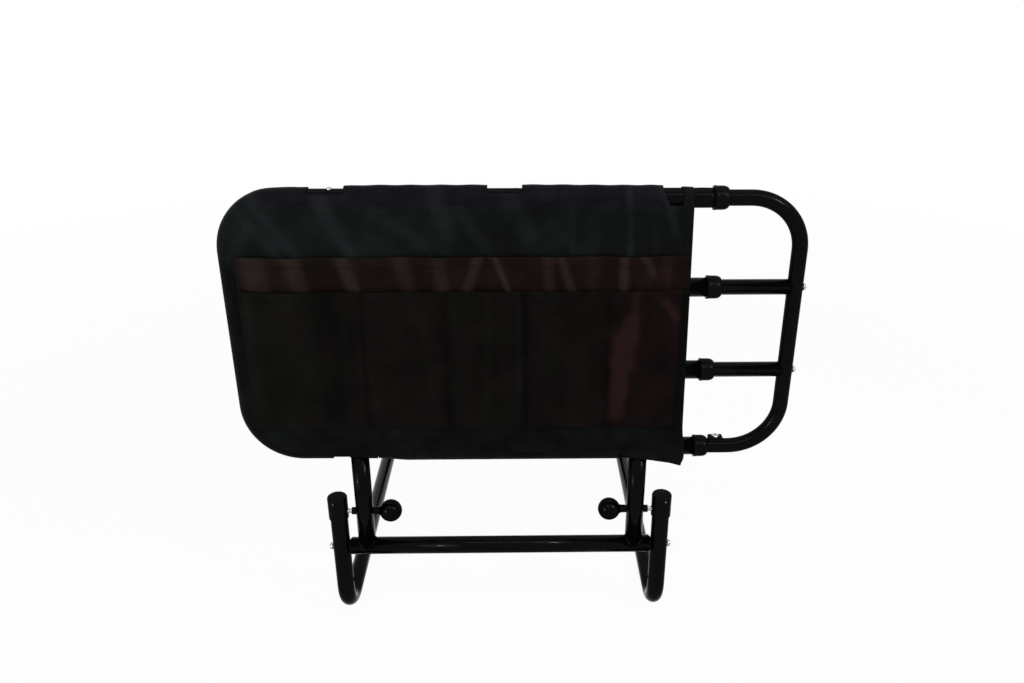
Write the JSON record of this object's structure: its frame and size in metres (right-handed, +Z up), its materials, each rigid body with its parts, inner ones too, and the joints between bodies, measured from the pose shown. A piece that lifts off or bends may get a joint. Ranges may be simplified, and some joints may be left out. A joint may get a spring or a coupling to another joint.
{
  "type": "folding bed guard rail",
  "caption": "Black steel bed rail that telescopes sideways and swings down on an L-shaped base that slides under a mattress, with a cloth organizer over its fixed half.",
  "frame": {"origin": "middle of the object's bounding box, at the bottom, where its arms rest", "axes": "+X along the rails towards the end that slides out, +Y towards the bed along the arms, +Z up"},
  "size_m": [0.6662, 0.5362, 0.5863],
  "materials": {
    "tube_paint": "gloss",
    "black_plastic": "fine matte",
    "knob_gloss": "polished",
    "zinc_steel": "bright zinc plating",
    "spring_steel": "drawn wire",
    "cover_nylon": "coated nylon, low sheen",
    "pocket_nylon": "coated nylon, low sheen"
  },
  "bodies": {
    "base": {"arm_left": "tube_paint", "arm_right": "tube_paint", "arm_plug_left": "black_plastic", "arm_plug_right": "black_plastic", "stub_cap_left": "black_plastic", "stub_cap_right": "black_plastic", "cap_screw_left": "zinc_steel", "cap_screw_right": "zinc_steel", "pivot_bolt_left": "zinc_steel", "pivot_bolt_right": "zinc_steel", "pivot_washer_left": "black_plastic", "pivot_washer_right": "black_plastic", "pivot_nut_left": "zinc_steel", "pivot_nut_right": "zinc_steel", "rear_crossbar": "tube_paint"},
    "rail_frame": {"post_left": "tube_paint", "post_right": "tube_paint", "lock_barrel_left": "black_plastic", "lock_barrel_right": "black_plastic", "lock_spring_left": "spring_steel", "lock_spring_right": "spring_steel", "hinge_crossbar": "tube_paint", "fixed_loop_tube": "tube_paint", "post_link_low": "tube_paint", "post_link_middle": "tube_paint", "post_link_high": "tube_paint", "fixed_rail_low": "tube_paint", "fixed_rail_high": "tube_paint", "collar_1": "black_plastic", "collar_2": "black_plastic", "collar_3": "black_plastic", "collar_4": "black_plastic", "pouch_cover": "cover_nylon", "pouch_rear_pocket": "pocket_nylon", "pouch_front_pocket": "pocket_nylon"},
    "lock_plunger_left": {"lock_pin_left": "zinc_steel", "lock_knob_left": "knob_gloss"},
    "lock_plunger_right": {"lock_pin_right": "zinc_steel", "lock_knob_right": "knob_gloss"},
    "extension": {"sliding_loop_tube": "tube_paint", "sliding_rail_low": "tube_paint", "sliding_rail_high": "tube_paint", "rail_bolt_low": "zinc_steel", "rail_bolt_high": "zinc_steel", "rail_insert_low": "zinc_steel", "rail_insert_high": "zinc_steel", "glide_plug_1": "black_plastic", "glide_plug_2": "black_plastic", "glide_plug_3": "black_plastic", "glide_plug_4": "black_plastic", "button_spring": "spring_steel", "stop_block": "black_plastic", "stop_screw": "zinc_steel"},
    "snap_button": {"snap_button": "zinc_steel"}
  },
  "joints": [
    {"name": "fold", "type": "hinge", "parent": "base", "child": "rail_frame", "pos_m": [-0.02215, -0.2422, 0.115], "axis": [1, 0, 0], "range_deg": [0, 180]},
    {"name": "extend", "type": "slide", "parent": "rail_frame", "child": "extension", "axis": [1, 0, 0], "range_m": [0, 0.4064], "deforming": ["snap_button"]},
    {"name": "pull_left", "type": "slide", "parent": "rail_frame", "child": "lock_plunger_left", "axis": [1, 0, 0], "range_m": [0, 0.009], "stiffness_N_per_m": 500, "springref_m": -0.006, "deforming": ["lock_spring_left"]},
    {"name": "pull_right", "type": "slide", "parent": "rail_frame", "child": "lock_plunger_right", "axis": [-1, 0, 0], "range_m": [0, 0.009], "stiffness_N_per_m": 500, "springref_m": -0.006, "deforming": ["lock_spring_right"]},
    {"name": "press_button", "type": "slide", "parent": "extension", "child": "snap_button", "axis": [0, 0, -1], "range_m": [0, 0.0042], "stiffness_N_per_m": 1500, "springref_m": -0.003, "deforming": ["button_spring"]}
  ]
}
